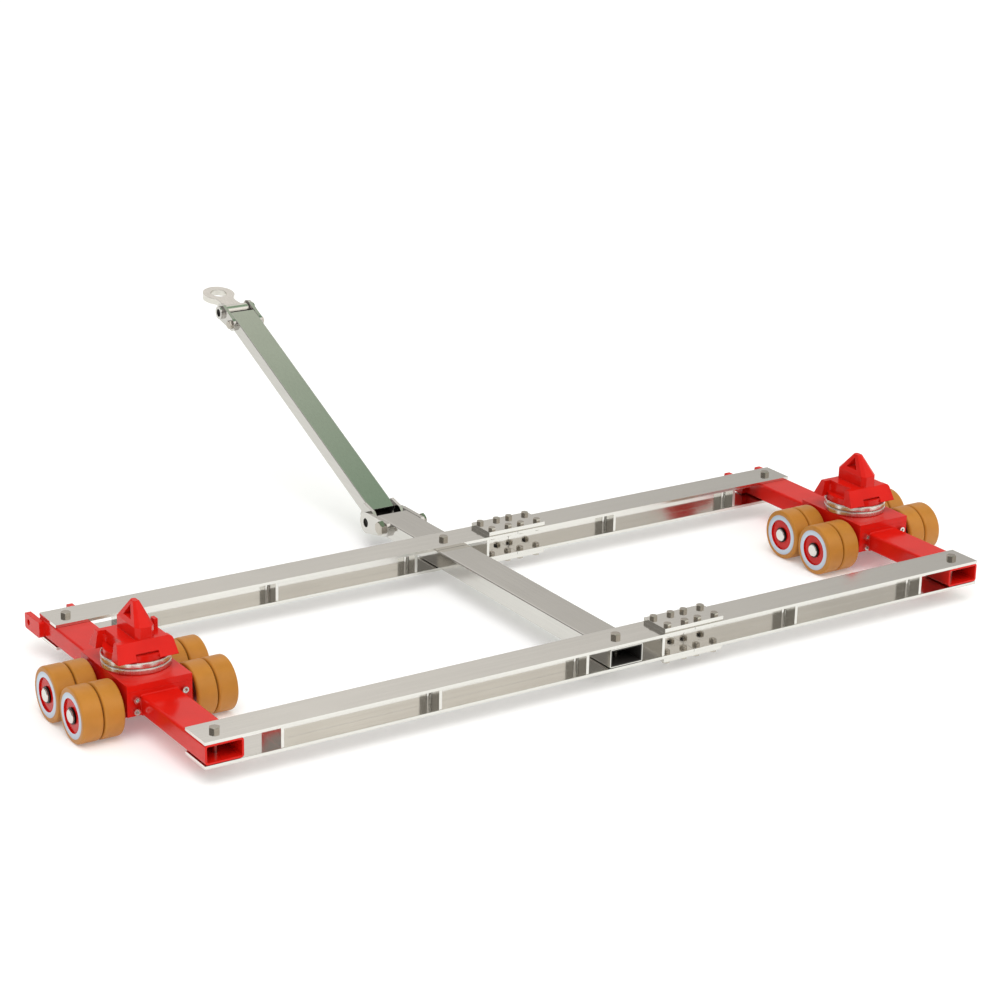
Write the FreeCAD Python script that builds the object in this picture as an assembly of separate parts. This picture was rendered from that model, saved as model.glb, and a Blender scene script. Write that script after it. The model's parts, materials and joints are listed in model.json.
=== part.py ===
import FreeCAD, Part
import math
import os

V = FreeCAD.Vector

# Layout, millimetres: X along the long beams, Y towards the drawbar, Z up from the floor
HEAD_SPACING = 2259.0
BEAM_SPACING = 818.0
TUBE_BELOW_AXLE = 10.5

# Long beams: polished I-section with welded stiffener plates
FLANGE_WIDTH = 100.0
FLANGE_THICK = 8.0
WEB_THICK = 6.0
BEAM_END = 50.0
STIFFENER_THICK = 8.0
STIFFENER_INSET = 2.0
STIFFENER_FROM_MIDDLE = 117.0
STIFFENER_FROM_HEAD = 151.5

# Splice that joins the left and right length of each beam
SPLICE_CLEAR = 0.5
SPLICE_LENGTH = 185.0
SPLICE_INSET = 4.0
SPLICE_THICK = 12.0
SPLICE_JOINT_GAP = 1.0
SPLICE_EDGE = 16.0
SPLICE_INNER_PITCH = 41.0
SPLICE_END = 18.0
SPLICE_BOLT_DIA = 12.0
SPLICE_BOLT_FLATS = 19.0
SPLICE_BOLT_HEAD = 8.0
SPLICE_NUT = 6.0

# Pivot bolts at the six crossings
PIVOT_DIA = 16.0
PIVOT_FLATS = 24.0
PIVOT_HEAD = 10.0
PIVOT_NUT = 13.0
PIVOT_CLEAR_ABOVE = 0.3
PIVOT_CLEAR_BELOW = 1.7

# Rectangular tubes of the bogie arms and the middle crossbeam
TUBE_WIDTH = 100.0
TUBE_HEIGHT = 50.0
TUBE_CORNER = 7.0
ARM_WALL = 5.0
CROSSBEAM_WALL = 6.0
CROSSBEAM_CORNER = 4.0

# Drawbar hinge at the far end of the middle crossbeam
CROSSBEAM_OVERHANG = 224.0
CHEEK_THICK = 12.0
CHEEK_ROUND = 31.0
CHEEK_FOOT_ROUND = 27.0
HINGE_AHEAD = 44.0
HINGE_DROP = 7.5
HINGE_PIN_DIA = 26.0
CHEEK_BOLT_BACK = 51.0
CHEEK_BOLT_RISE = 7.5
CHEEK_BOLT_DIA = 24.0
CHEEK_BOLT_FLATS = 36.0
CHEEK_BOLT_HEAD = 15.0
CHEEK_BOLT_NUT = 12.0

# Drawbar, measured along its own axis from the hinge pin
DRAWBAR_ANGLE = 24.0
DRAWBAR_LENGTH = 986.0
DRAWBAR_WIDTH = 80.0
DRAWBAR_DEPTH = 40.0
DRAWBAR_WALL = 4.0
DRAWBAR_CORNER = 2.0
DRAWBAR_RISE = 6.0
DRAWBAR_FOOT_GAP = 21.0
DRAWBAR_HEAD_GAP = 37.0
EAR_PLATE_REACH = 50.0
EAR_PLATE_RISE = 3.0
EAR_PLATE_ROUND = 28.0
EAR_END_CLEAR = 5.0
EYE_CHEEK_THICK = 10.0
EYE_CHEEK_ROUND = 27.0
EYE_BOSS_DIA = 40.0
EYE_BOSS = 9.0
EYE_BOLT_FROM_PIN = 68.0
EYE_BOLT_DIA = 16.0
EYE_BOLT_FLATS = 24.0
EYE_BOLT_HEAD = 10.0
EYE_BOLT_NUT = 8.0

# Towing eye, measured along its own axis from its pin
EYE_ANGLE = 10.0
EYE_REACH = 115.0
EYE_OUTER_DIA = 98.0
EYE_HOLE_DIA = 50.0
EYE_THICK = 18.0
EYE_NECK = 55.0
EYE_PIN_DIA = 24.0
EYE_ROOT_DIA = 40.0
EYE_SIDE_CLEAR = 1.5
PIN_SET_BACK = 5.0

# Bogie block with its bolted arms
BLOCK_WIDTH = 172.0
BLOCK_END = 44.0
BLOCK_OVER_AXLE = 69.0
ARM_PLATE_THICK = 12.0
LIP_HEIGHT = 17.0
CRADLE_END = 25.0
CRADLE_WALL = 6.5
SCREW_DIA = 10.0
SCREW_HEAD_DIA = 16.0
SCREW_HEAD = 10.0
SCREW_SOCKET = 8.0
SCREW_SOCKET_DEPTH = 6.0
SCREW_IN_BLOCK = 18.0
SCREW_EDGE = 22.0
SCREW_ABOVE_FOOT = 13.5
SCREW_BELOW_LIP = 19.0

# Clevis ears at the far end of each bogie
CLEVIS_THICK = 15.0
CLEVIS_OVERLAP = 30.0
CLEVIS_REACH = 60.0
CLEVIS_HEIGHT = 42.0
CLEVIS_HOLE_DIA = 16.0
CLEVIS_HOLE_FROM_END = 23.0
CLEVIS_ROUND = 6.0
CLEVIS_DROP = 3.5

# Axles and twin rollers
ROLLER_DIA = 140.0
TYRE_WIDTH = 53.0
TYRE_GAP = 3.0
TYRE_EDGE = 6.0
TYRE_THICK = 13.0
RIM_THICK = 14.0
DISC_RECESS = 4.0
AXLE_DIA = 35.0
AXLE_CHAMFER = 2.0
ROLLER_GAP = 4.0
AXLE_STUB = 5.0
BUSH_WALL = 3.0
ROLLER_SIDE_CLEAR = 10.0
RING_WALL = 3.5
RING_THICK = 4.0

# Turntable, kingpin and head
RING_WIDTH = 31.0
RING_HOLE_DIA = 110.0
RING_HEIGHT = 15.0
RING_GAP = 0.6
RING_EDGE = 2.0
BALL_DIA = 10.0
BALL_COUNT = 24
KINGPIN_DIA = 40.0
KINGPIN_LIP = 12.0
KINGPIN_COLLAR = 18.0
KINGPIN_POCKET_CLEAR = 4.0
KINGPIN_POCKET_DEPTH = 34.0
KINGPIN_IN_HEAD = 32.0
DISC_HEAD_DIA = 160.0
DISC_HEAD_HEIGHT = 16.4
SEAT_RISE = 33.0
SEAT_BLOCK_WIDTH = 116.0
APRON_X = -5.0
APRON_HALF_LENGTH = 60.0
APRON_LEAN = 22.0
APRON_GAP = 5.4
APRON_THICK = 15.0
APRON_TOP_WIDTH = 146.0
APRON_FOOT_WIDTH = 160.0
APRON_NOTCH_WIDTH = 60.0
APRON_NOTCH_HEIGHT = 16.0
APRON_NOTCH_DEPTH = 14.0
APRON_ROUND = 12.0
APRON_FILLET = 8.0
CONE_WIDTH = 50.0
CONE_LENGTH = 118.0
CONE_CHAMFER = 10.0
CONE_SHOULDER = 30.0
CONE_HEIGHT = 82.0
CONE_TIP_WIDTH = 16.0
CONE_TIP_LENGTH = 24.0
CONE_TIP_CHAMFER = 5.0
CONE_TIP_ROUND = 3.5
CONE_WINDOW_WIDTH = 42.0
CONE_CROWN = 10.0
CONE_WINDOW_RISE = 12.0
TAB_INSET = 8.0
TAB_Y = 10.0
TAB_THICK = 10.0
TAB_LENGTH = 20.0
TAB_HEIGHT = 21.0

# Clearances
RUNNING = 0.05
SLACK = 0.3
FAR_PIVOT_CLEAR = 0.4
BOLT_CLEAR = 0.5

# Levels and places that follow from the sizes above
AXLE_Z = ROLLER_DIA / 2
TUBE_UNDERSIDE = AXLE_Z - TUBE_BELOW_AXLE
TUBE_MIDDLE = TUBE_UNDERSIDE + TUBE_HEIGHT / 2
FLANGE_INNER_TOP = TUBE_UNDERSIDE + TUBE_HEIGHT + PIVOT_CLEAR_ABOVE
FLANGE_INNER_LOW = TUBE_UNDERSIDE - PIVOT_CLEAR_BELOW
BEAM_TOP = FLANGE_INNER_TOP + FLANGE_THICK
BEAM_UNDERSIDE = FLANGE_INNER_LOW - FLANGE_THICK
HEAD_X = HEAD_SPACING / 2
BEAM_Y = BEAM_SPACING / 2
BEAM_HALF = HEAD_X + BEAM_END
OUTER_EDGE = BEAM_Y + FLANGE_WIDTH / 2
CROSSBEAM_END = OUTER_EDGE + CROSSBEAM_OVERHANG
HINGE_Y = CROSSBEAM_END + HINGE_AHEAD
CHEEK_BOLT_Y = CROSSBEAM_END - CHEEK_BOLT_BACK
WEB_FAR = HEAD_X - STIFFENER_FROM_HEAD
STIFFENERS = (STIFFENER_FROM_MIDDLE, (STIFFENER_FROM_MIDDLE + WEB_FAR) / 2, WEB_FAR)
SPLICE_X = STIFFENER_FROM_MIDDLE + STIFFENER_THICK / 2 + SPLICE_CLEAR + SPLICE_LENGTH / 2
SPLICE_WIDTH = FLANGE_WIDTH - 2 * SPLICE_INSET
CLEVIS_START = OUTER_EDGE - CLEVIS_OVERLAP
CLEVIS_END = OUTER_EDGE + CLEVIS_REACH
AXLE_SPACING = ROLLER_DIA + ROLLER_GAP
CORE_DIA = ROLLER_DIA - 2 * TYRE_THICK
DISC_DIA = CORE_DIA - 2 * RIM_THICK
BLOCK_TOP = AXLE_Z + BLOCK_OVER_AXLE
BLOCK_FACE = AXLE_SPACING / 2 + BLOCK_END
CRADLE_UNDERSIDE = AXLE_Z - AXLE_DIA / 2 - CRADLE_WALL
KINGPIN_COLLAR_DIA = KINGPIN_DIA + 2 * KINGPIN_LIP
KINGPIN_POCKET_DIA = KINGPIN_COLLAR_DIA + 2 * KINGPIN_POCKET_CLEAR
KINGPIN_POCKET_TOP = CRADLE_UNDERSIDE + KINGPIN_POCKET_DEPTH
RING_DIA = RING_HOLE_DIA + 2 * RING_WIDTH
ARM_FACE = BLOCK_FACE + ARM_PLATE_THICK
ROLLER_INNER = BLOCK_WIDTH / 2 + ROLLER_SIDE_CLEAR
ROLLER_OUTER = ROLLER_INNER + 2 * TYRE_WIDTH + TYRE_GAP
LOWER_RING_TOP = BLOCK_TOP + RING_HEIGHT
UPPER_RING_LOW = LOWER_RING_TOP + RING_GAP
GROOVE_Z = LOWER_RING_TOP + RING_GAP / 2
HEAD_LOW = UPPER_RING_LOW + RING_HEIGHT
DISC_HEAD_TOP = HEAD_LOW + DISC_HEAD_HEIGHT
SEAT_HEIGHT = DISC_HEAD_TOP + SEAT_RISE
APRON_HEIGHT = DISC_HEAD_HEIGHT + SEAT_RISE - APRON_GAP
CHEEK_OUTER = TUBE_WIDTH / 2 + CHEEK_THICK
EAR_PLATE_THICK = (TUBE_WIDTH - DRAWBAR_WIDTH) / 2 - SLACK
EYE_CHEEK_OUTER = DRAWBAR_WIDTH / 2 + EYE_CHEEK_THICK
EAR_BROW = HINGE_AHEAD - EAR_END_CLEAR
EAR_HEEL = math.sqrt(EAR_BROW ** 2 - EAR_PLATE_ROUND ** 2)
HINGE_Z = TUBE_MIDDLE - HINGE_DROP
HINGE = V(0, HINGE_Y, HINGE_Z)
LEAN = math.radians(DRAWBAR_ANGLE)
EYE_LEAN = math.radians(EYE_ANGLE)
EYE_PIN = HINGE + V(0, DRAWBAR_LENGTH * math.cos(LEAN), DRAWBAR_LENGTH * math.sin(LEAN))
EYE_TIP = (
    EYE_PIN.y
    + (EYE_REACH + EYE_OUTER_DIA / 2) * math.cos(EYE_LEAN)
    + EYE_THICK / 2 * math.sin(EYE_LEAN)
)
# The origin is under the middle of the whole object, on the floor
TO_ORIGIN = V(0, (OUTER_EDGE - EYE_TIP) / 2, 0)


def box(x0, x1, y0, y1, z0, z1):
    """Block between two corners."""
    return Part.makeBox(x1 - x0, y1 - y0, z1 - z0, V(x0, y0, z0))


def rod(dia, start, end):
    """Round bar from one point to another."""
    along = end - start
    return Part.makeCylinder(dia / 2, along.Length, start, along)


def hexagon(flats, start, along):
    """Hexagonal prism, standing on start, along a vector."""
    corner = flats / math.sqrt(3)
    side = V(1, 0, 0) if abs(along.x) < 0.5 * along.Length else V(0, 0, 1)
    across = along.cross(side)
    across.normalize()
    points = []
    for index in range(7):
        turn = math.radians(60 * index)
        points.append(start + side * (corner * math.cos(turn)) + across * (corner * math.sin(turn)))
    return Part.Face(Part.makePolygon(points)).extrude(along)


def plate(points, along):
    """Flat outline of points, made as thick as a vector."""
    return Part.Face(Part.makePolygon(points + [points[0]])).extrude(along)


def rounded(shape, along, radius):
    """Round every straight edge that runs along a direction."""
    edges = []
    for edge in shape.Edges:
        run = edge.Vertexes[-1].Point - edge.Vertexes[0].Point
        if run.Length > 0 and abs(run.dot(along)) > 0.999 * run.Length:
            edges.append(edge)
    return shape.makeFillet(radius, edges)


def tube(width, height, wall, corner, y0, y1, z_middle):
    """Rectangular hollow section along Y, centred on x = 0."""
    along = V(0, 1, 0)
    outer = rounded(box(-width / 2, width / 2, y0, y1, z_middle - height / 2, z_middle + height / 2),
                    along, corner)
    half = width / 2 - wall
    rise = height / 2 - wall
    inner = rounded(box(-half, half, y0, y1, z_middle - rise, z_middle + rise), along, corner / 2)
    return outer.cut(inner)


def turned(points, centre):
    """Solid turned about an X axis through centre, from points of x and radius."""
    outline = [V(x, centre.y, centre.z + radius) for x, radius in points]
    face = Part.Face(Part.makePolygon(outline + [outline[0]]))
    return face.revolve(centre, V(1, 0, 0), 360)


def bolt(dia, flats, head, nut, seat, along, grip):
    """Hexagon bolt from its head's seat through a grip along a unit vector, and its nut."""
    end = seat + along * (grip + nut + 0.2 * dia)
    body = hexagon(flats, seat, along * -head).fuse(rod(dia, seat, end))
    nut_seat = seat + along * grip
    nut_solid = hexagon(flats, nut_seat, along * nut).cut(rod(dia, nut_seat, nut_seat + along * nut))
    return [body.removeSplitter(), nut_solid]


def beam_length(x0, x1, beam_y):
    """One length of a long beam, with web, stiffeners and bolt holes."""
    half = FLANGE_WIDTH / 2
    shape = box(x0, x1, beam_y - half, beam_y + half, FLANGE_INNER_TOP, BEAM_TOP)
    shape = shape.fuse(box(x0, x1, beam_y - half, beam_y + half, BEAM_UNDERSIDE, FLANGE_INNER_LOW))
    for start, end in ((-WEB_FAR, -STIFFENER_FROM_MIDDLE), (STIFFENER_FROM_MIDDLE, WEB_FAR)):
        web_start = max(start, x0)
        web_end = min(end, x1)
        if web_end > web_start:
            shape = shape.fuse(box(web_start, web_end, beam_y - WEB_THICK / 2, beam_y + WEB_THICK / 2,
                                   FLANGE_INNER_LOW, FLANGE_INNER_TOP))
    for station in [-x for x in STIFFENERS] + list(STIFFENERS):
        if x0 < station < x1:
            shape = shape.fuse(box(station - STIFFENER_THICK / 2, station + STIFFENER_THICK / 2,
                                   beam_y - half + STIFFENER_INSET, beam_y + half - STIFFENER_INSET,
                                   FLANGE_INNER_LOW, FLANGE_INNER_TOP))
    for pivot_x in (-HEAD_X, 0, HEAD_X):
        if x0 < pivot_x < x1:
            shape = shape.cut(pivot_hole(pivot_x, beam_y, PIVOT_DIA))
    for hole_x, hole_y in splice_places(beam_y):
        if x0 < hole_x < x1:
            shape = shape.cut(rod(SPLICE_BOLT_DIA + BOLT_CLEAR, V(hole_x, hole_y, 0),
                                  V(hole_x, hole_y, BEAM_TOP)))
    return shape.removeSplitter()


def pivot_hole(x, y, dia):
    """Upright hole for a pivot bolt."""
    return rod(dia, V(x, y, 0), V(x, y, BEAM_TOP))


def splice_places(beam_y):
    """Bolt places of one splice, two rows of four."""
    outer = SPLICE_LENGTH / 2 - SPLICE_END
    inner = SPLICE_INNER_PITCH / 2
    row = SPLICE_WIDTH / 2 - SPLICE_EDGE
    offsets = (-outer, -inner, inner, outer)
    rows = (beam_y - row, beam_y + row)
    return [(SPLICE_X + offset, row) for offset in offsets for row in rows]


def splice_plates(beam_y):
    """Top and bottom plate of one splice."""
    x0 = SPLICE_X - SPLICE_LENGTH / 2
    x1 = SPLICE_X + SPLICE_LENGTH / 2
    y0 = beam_y - SPLICE_WIDTH / 2
    y1 = beam_y + SPLICE_WIDTH / 2
    plates = []
    for z0 in (BEAM_TOP, BEAM_UNDERSIDE - SPLICE_THICK):
        shape = box(x0, x1, y0, y1, z0, z0 + SPLICE_THICK)
        for hole_x, hole_y in splice_places(beam_y):
            shape = shape.cut(rod(SPLICE_BOLT_DIA + BOLT_CLEAR, V(hole_x, hole_y, z0),
                                  V(hole_x, hole_y, z0 + SPLICE_THICK)))
        plates.append(shape)
    return plates


def splice_bolts(beam_y):
    """Bolts and nuts of one splice, through each flange and its plate."""
    grip = SPLICE_THICK + FLANGE_THICK
    solids = []
    for x, y in splice_places(beam_y):
        for seat, along in ((BEAM_TOP + SPLICE_THICK, V(0, 0, -1)),
                            (BEAM_UNDERSIDE - SPLICE_THICK, V(0, 0, 1))):
            solids += bolt(SPLICE_BOLT_DIA, SPLICE_BOLT_FLATS, SPLICE_BOLT_HEAD, SPLICE_NUT,
                           V(x, y, seat), along, grip)
    return solids


def pivot_bolts(beam_y):
    """Bolts and nuts on which the three crossbars turn in one beam."""
    solids = []
    for x in (-HEAD_X, 0, HEAD_X):
        solids += bolt(PIVOT_DIA, PIVOT_FLATS, PIVOT_HEAD, PIVOT_NUT, V(x, beam_y, BEAM_TOP),
                       V(0, 0, -1), BEAM_TOP - BEAM_UNDERSIDE)
    return solids


def crossbeam():
    """Middle crossbeam, from the near beam's edge to the drawbar hinge."""
    shape = tube(TUBE_WIDTH, TUBE_HEIGHT, CROSSBEAM_WALL, CROSSBEAM_CORNER, -OUTER_EDGE, CROSSBEAM_END,
                 TUBE_MIDDLE)
    for y in (-BEAM_Y, BEAM_Y):
        shape = shape.cut(pivot_hole(0, y, PIVOT_DIA + 2 * RUNNING))
    return shape.cut(cheek_bolt_hole())


def cheek_bolt_hole():
    """Cross hole for the cheek plates' through bolt."""
    z = TUBE_MIDDLE + CHEEK_BOLT_RISE
    return rod(CHEEK_BOLT_DIA + BOLT_CLEAR, V(-CHEEK_OUTER, CHEEK_BOLT_Y, z), V(CHEEK_OUTER, CHEEK_BOLT_Y, z))


def crossbeam_cheeks():
    """Two link plates, round about the through bolt and the hinge pin, flush with the crossbeam's top."""
    foot = V(0, CHEEK_BOLT_Y, TUBE_MIDDLE + CHEEK_BOLT_RISE)
    top = TUBE_MIDDLE + TUBE_HEIGHT / 2
    above = box(-CHEEK_OUTER, CHEEK_OUTER, foot.y - CHEEK_FOOT_ROUND, HINGE_Y + CHEEK_ROUND, top,
                foot.z + CHEEK_FOOT_ROUND + CHEEK_ROUND)
    plates = []
    for side in (-1, 1):
        inner = V(side * TUBE_WIDTH / 2, 0, 0)
        outer = V(side * CHEEK_OUTER, 0, 0)
        outline = [
            foot - V(0, 0, CHEEK_FOOT_ROUND),
            HINGE - V(0, 0, CHEEK_ROUND),
            HINGE + V(0, 0, CHEEK_ROUND),
            foot + V(0, 0, CHEEK_FOOT_ROUND),
        ]
        shape = plate([point + inner for point in outline], outer - inner)
        shape = shape.fuse(rod(2 * CHEEK_ROUND, HINGE + inner, HINGE + outer))
        shape = shape.fuse(rod(2 * CHEEK_FOOT_ROUND, foot + inner, foot + outer)).cut(above)
        shape = shape.cut(rod(HINGE_PIN_DIA, HINGE + inner, HINGE + outer))
        plates.append(shape.cut(cheek_bolt_hole()).removeSplitter())
    return plates


def cheek_bolt():
    """Through bolt that holds both cheek plates on the crossbeam."""
    seat = V(-CHEEK_OUTER, CHEEK_BOLT_Y, TUBE_MIDDLE + CHEEK_BOLT_RISE)
    return bolt(CHEEK_BOLT_DIA, CHEEK_BOLT_FLATS, CHEEK_BOLT_HEAD, CHEEK_BOLT_NUT, seat, V(1, 0, 0),
                2 * CHEEK_OUTER)


def hinge_pin():
    """Pin on which the drawbar tips, set back in the cheek plates."""
    reach = V(CHEEK_OUTER - PIN_SET_BACK, 0, 0)
    return [rod(HINGE_PIN_DIA, HINGE - reach, HINGE + reach)]


def on_drawbar(shape):
    """Tip a shape made along Y about the origin up to the drawbar's place."""
    shape.rotate(V(0, 0, 0), V(1, 0, 0), DRAWBAR_ANGLE)
    shape.translate(HINGE)
    return shape


def cross_rod(dia, along, rise, half):
    """Round bar along X at a place on the drawbar's own axes."""
    return rod(dia, V(-half, along, rise), V(half, along, rise))


def drawbar():
    """Rectangular tube with a welded ear plate on each side of its foot."""
    half = DRAWBAR_WIDTH / 2
    low = DRAWBAR_RISE - DRAWBAR_DEPTH / 2
    top = DRAWBAR_RISE + DRAWBAR_DEPTH / 2
    shape = tube(DRAWBAR_WIDTH, DRAWBAR_DEPTH, DRAWBAR_WALL, DRAWBAR_CORNER, DRAWBAR_FOOT_GAP,
                 DRAWBAR_LENGTH - DRAWBAR_HEAD_GAP, DRAWBAR_RISE)
    for x0 in (-half - EAR_PLATE_THICK, half):
        outline = [
            V(x0, EAR_PLATE_REACH, top + EAR_PLATE_RISE),
            V(x0, 0, EAR_BROW),
            V(x0, -EAR_PLATE_ROUND, EAR_HEEL),
            V(x0, -EAR_PLATE_ROUND, 0),
            V(x0, 0, -EAR_PLATE_ROUND),
            V(x0, EAR_PLATE_REACH, low),
        ]
        ear = plate(outline, V(EAR_PLATE_THICK, 0, 0))
        ear = ear.fuse(rod(2 * EAR_PLATE_ROUND, V(x0, 0, 0), V(x0 + EAR_PLATE_THICK, 0, 0)))
        shape = shape.fuse(ear)
    shape = shape.cut(cross_rod(HINGE_PIN_DIA + 2 * RUNNING, 0, 0, half + EAR_PLATE_THICK))
    shape = shape.cut(eye_bolt_hole(half))
    return on_drawbar(shape.removeSplitter())


def eye_bolt_hole(half):
    """Cross hole for the eye cheeks' through bolt."""
    return cross_rod(EYE_BOLT_DIA + BOLT_CLEAR, DRAWBAR_LENGTH - EYE_BOLT_FROM_PIN, DRAWBAR_RISE, half)


def eye_cheeks():
    """Two link plates at the drawbar's upper end, with bosses that carry the eye's pin."""
    inner = DRAWBAR_WIDTH / 2
    foot = DRAWBAR_LENGTH - EYE_BOLT_FROM_PIN
    low = DRAWBAR_RISE - DRAWBAR_DEPTH / 2
    top = DRAWBAR_RISE + DRAWBAR_DEPTH / 2
    plates = []
    for side in (-1, 1):
        x0 = min(side * inner, side * EYE_CHEEK_OUTER)
        x1 = x0 + EYE_CHEEK_THICK
        start = V(side * inner, DRAWBAR_LENGTH, 0)
        end = V(side * (EYE_CHEEK_OUTER + EYE_BOSS), DRAWBAR_LENGTH, 0)
        outline = [V(x0, foot, low), V(x0, DRAWBAR_LENGTH, -EYE_CHEEK_ROUND),
                   V(x0, DRAWBAR_LENGTH, EYE_CHEEK_ROUND), V(x0, foot, top)]
        shape = plate(outline, V(EYE_CHEEK_THICK, 0, 0))
        shape = shape.fuse(rod(2 * EYE_CHEEK_ROUND, V(x0, DRAWBAR_LENGTH, 0), V(x1, DRAWBAR_LENGTH, 0)))
        shape = shape.fuse(rod(DRAWBAR_DEPTH, V(x0, foot, DRAWBAR_RISE), V(x1, foot, DRAWBAR_RISE)))
        shape = shape.fuse(rod(EYE_BOSS_DIA, start, end))
        shape = shape.cut(rod(EYE_PIN_DIA, start, end))
        shape = shape.cut(eye_bolt_hole(EYE_CHEEK_OUTER))
        plates.append(on_drawbar(shape.removeSplitter()))
    return plates


def eye_bolt():
    """Through bolt that holds both eye cheeks on the drawbar."""
    seat = V(-EYE_CHEEK_OUTER, DRAWBAR_LENGTH - EYE_BOLT_FROM_PIN, DRAWBAR_RISE)
    solids = bolt(EYE_BOLT_DIA, EYE_BOLT_FLATS, EYE_BOLT_HEAD, EYE_BOLT_NUT, seat, V(1, 0, 0),
                  2 * EYE_CHEEK_OUTER)
    return [on_drawbar(solid) for solid in solids]


def eye_pin():
    """Pin on which the towing eye tips, set back in the cheeks' bosses."""
    return [on_drawbar(cross_rod(EYE_PIN_DIA, DRAWBAR_LENGTH, 0, EYE_CHEEK_OUTER + EYE_BOSS - PIN_SET_BACK))]


def towing_eye():
    """Flat ring with a waisted neck and a round root on the pin."""
    half = EYE_THICK / 2
    ring = Part.makeCylinder(EYE_OUTER_DIA / 2, EYE_THICK, V(0, EYE_REACH, -half))
    root_half = DRAWBAR_WIDTH / 2 - EYE_SIDE_CLEAR
    neck_y = EYE_REACH - EYE_OUTER_DIA / 2
    points = []
    for side in (-1, 1):
        rim = V(side * EYE_OUTER_DIA / 2, EYE_REACH, -half)
        waist = V(side * EYE_NECK / 2, neck_y, -half)
        foot = V(side * root_half, EYE_ROOT_DIA / 4, -half)
        points.append((rim, waist, foot))
    (left_rim, left_waist, left_foot), (right_rim, right_waist, right_foot) = points
    left = Part.BSplineCurve()
    left.interpolate([left_foot, left_waist, left_rim])
    right = Part.BSplineCurve()
    right.interpolate([right_rim, right_waist, right_foot])
    outline = Part.Wire([left.toShape(), Part.makeLine(left_rim, right_rim), right.toShape(),
                         Part.makeLine(right_foot, left_foot)])
    neck = Part.Face(outline).extrude(V(0, 0, EYE_THICK))
    heel = box(-root_half, root_half, 0, EYE_ROOT_DIA / 4, -half, half)
    root = rod(EYE_ROOT_DIA, V(-root_half, 0, 0), V(root_half, 0, 0))
    shape = ring.fuse([neck, heel, root])
    shape = shape.cut(Part.makeCylinder(EYE_HOLE_DIA / 2, EYE_THICK, V(0, EYE_REACH, -half)))
    shape = shape.cut(rod(EYE_PIN_DIA + 2 * RUNNING, V(-root_half, 0, 0), V(root_half, 0, 0)))
    shape = shape.removeSplitter()
    shape.rotate(V(0, 0, 0), V(1, 0, 0), EYE_ANGLE)
    shape.translate(EYE_PIN)
    return shape


def arm(side):
    """Arm tube with its welded end plate: side -1 is the near arm, side 1 the far one."""
    y0 = min(side * ARM_FACE, side * OUTER_EDGE)
    y1 = max(side * ARM_FACE, side * OUTER_EDGE)
    shape = tube(TUBE_WIDTH, TUBE_HEIGHT, ARM_WALL, TUBE_CORNER, y0, y1, TUBE_MIDDLE)
    pivot_clear = FAR_PIVOT_CLEAR if side > 0 else RUNNING
    shape = shape.cut(pivot_hole(0, side * BEAM_Y, PIVOT_DIA + 2 * pivot_clear))
    half = BLOCK_WIDTH / 2
    face0 = min(side * BLOCK_FACE, side * ARM_FACE)
    face1 = max(side * BLOCK_FACE, side * ARM_FACE)
    end_plate = box(-half, half, face0, face1, TUBE_UNDERSIDE, BLOCK_TOP - LIP_HEIGHT)
    for x, z in screw_places():
        end_plate = end_plate.cut(rod(SCREW_DIA + BOLT_CLEAR, V(x, face0, z), V(x, face1, z)))
    shape = shape.fuse(end_plate)
    if side > 0:
        for ear in clevis_ears():
            shape = shape.fuse(ear)
    return shape.removeSplitter()


def clevis_ears():
    """Two ears with a cross hole, welded outside the far arm's sides."""
    middle = TUBE_MIDDLE - CLEVIS_DROP
    low = middle - CLEVIS_HEIGHT / 2
    top = middle + CLEVIS_HEIGHT / 2
    hole_y = CLEVIS_END - CLEVIS_HOLE_FROM_END
    ears = []
    for side in (-1, 1):
        inner = side * TUBE_WIDTH / 2
        outer = side * (TUBE_WIDTH / 2 + CLEVIS_THICK)
        ear = box(min(inner, outer), max(inner, outer), CLEVIS_START, CLEVIS_END, low, top)
        ear = rounded(ear, V(1, 0, 0), CLEVIS_ROUND)
        ears.append(ear.cut(rod(CLEVIS_HOLE_DIA, V(inner, hole_y, middle), V(outer, hole_y, middle))))
    return ears


def screw_places():
    """Places of the screws on an arm's end plate."""
    edge = BLOCK_WIDTH / 2 - SCREW_EDGE
    levels = (TUBE_UNDERSIDE + SCREW_ABOVE_FOOT, BLOCK_TOP - LIP_HEIGHT - SCREW_BELOW_LIP)
    return [(x, z) for x in (-edge, edge) for z in levels]


def arm_screws():
    """Socket-head screws that hold both arms on the block."""
    solids = []
    for side in (-1, 1):
        for x, z in screw_places():
            seat = V(x, side * ARM_FACE, z)
            out = V(0, side, 0)
            tip = seat - out * (ARM_PLATE_THICK + SCREW_IN_BLOCK)
            head_end = seat + out * SCREW_HEAD
            screw = rod(SCREW_HEAD_DIA, seat, head_end).fuse(rod(SCREW_DIA, tip, seat))
            socket = hexagon(SCREW_SOCKET, head_end, out * -SCREW_SOCKET_DEPTH)
            solids.append(screw.cut(socket).removeSplitter())
    return solids


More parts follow.
